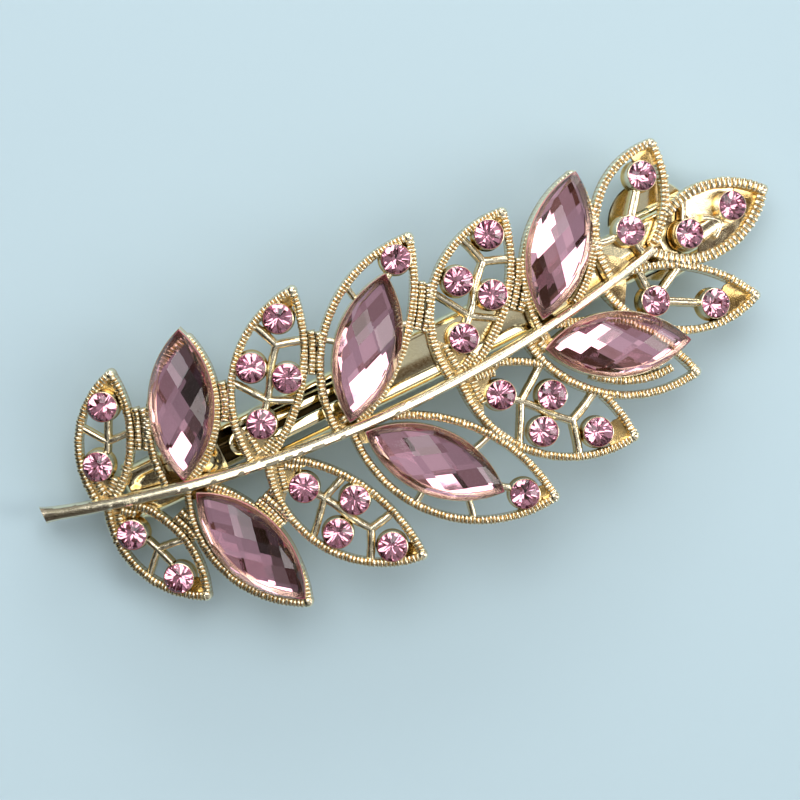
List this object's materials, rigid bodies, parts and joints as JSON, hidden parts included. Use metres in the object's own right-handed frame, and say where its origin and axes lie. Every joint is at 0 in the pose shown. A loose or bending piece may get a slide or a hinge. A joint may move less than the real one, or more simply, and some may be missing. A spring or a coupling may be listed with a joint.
{
  "type": "rhinestone hair clip",
  "caption": "Curved spray of cast metal leaves set with round and pointed oval stones, on a sprung barrette clip whose hinged arm closes under a lock of hair.",
  "frame": {"origin": "middle of the locking arm's flat underside, which the closed clip rests on", "axes": "+X along the clip from hinge to latch, +Y to the side of the upper row of leaves, +Z out of the hair towards the stones"},
  "size_m": [0.087, 0.0346, 0.0147],
  "materials": {
    "casting": "polished champagne gold plate over a cast alloy",
    "clip_metal": "polished pale gold plate over spring sheet",
    "oval_stone": "faceted, foil-backed dusty pink glass",
    "round_stone": "faceted, foil-backed pale pink glass"
  },
  "bodies": {
    "root": {"stem": "casting", "leaf_top_1": "casting", "leaf_top_2": "casting", "leaf_top_3": "casting", "leaf_top_4": "casting", "leaf_top_5": "casting", "leaf_top_6": "casting", "leaf_top_7": "casting", "leaf_end": "casting", "leaf_bottom_7": "casting", "leaf_bottom_6": "casting", "leaf_bottom_5": "casting", "leaf_bottom_4": "casting", "leaf_bottom_3": "casting", "leaf_bottom_2": "casting", "leaf_bottom_1": "casting", "oval_stone_top_2": "oval_stone", "oval_stone_top_4": "oval_stone", "oval_stone_top_6": "oval_stone", "oval_stone_bottom_6": "oval_stone", "oval_stone_bottom_4": "oval_stone", "oval_stone_bottom_2": "oval_stone", "round_stone_top_1_1": "round_stone", "round_stone_top_1_2": "round_stone", "round_stone_top_3_1": "round_stone", "round_stone_top_3_2": "round_stone", "round_stone_top_3_3": "round_stone", "round_stone_top_3_4": "round_stone", "round_stone_top_4_1": "round_stone", "round_stone_top_5_1": "round_stone", "round_stone_top_5_2": "round_stone", "round_stone_top_5_3": "round_stone", "round_stone_top_5_4": "round_stone", "round_stone_top_7_1": "round_stone", "round_stone_top_7_2": "round_stone", "round_stone_end_1": "round_stone", "round_stone_end_2": "round_stone", "round_stone_bottom_7_1": "round_stone", "round_stone_bottom_7_2": "round_stone", "round_stone_bottom_5_1": "round_stone", "round_stone_bottom_5_2": "round_stone", "round_stone_bottom_5_3": "round_stone", "round_stone_bottom_5_4": "round_stone", "round_stone_bottom_4_1": "round_stone", "round_stone_bottom_3_1": "round_stone", "round_stone_bottom_3_2": "round_stone", "round_stone_bottom_3_3": "round_stone", "round_stone_bottom_3_4": "round_stone", "round_stone_bottom_1_1": "round_stone", "round_stone_bottom_1_2": "round_stone", "base_plate": "clip_metal", "hinge_pin": "clip_metal", "tension_strip": "clip_metal", "latch_saddle": "clip_metal"},
    "arm": {"locking_arm": "clip_metal"},
    "ear_left": {"press_ear_left": "clip_metal"},
    "ear_right": {"press_ear_right": "clip_metal"}
  },
  "joints": [
    {"name": "arm_hinge", "type": "hinge", "parent": "root", "child": "arm", "pos_m": [-0.0342, 0, 0.0023], "axis": [0, 1, 0], "range_deg": [0, 70]},
    {"name": "ear_left_pivot", "type": "hinge", "parent": "root", "child": "ear_left", "pos_m": [0.031, 0.00295, 0.0044], "axis": [1, 0, 0], "range_deg": [0, 12], "stiffness_Nm_per_rad": 0.02},
    {"name": "ear_right_pivot", "type": "hinge", "parent": "root", "child": "ear_right", "pos_m": [0.031, -0.00295, 0.0044], "axis": [-1, 0, 0], "range_deg": [0, 12], "stiffness_Nm_per_rad": 0.02}
  ]
}
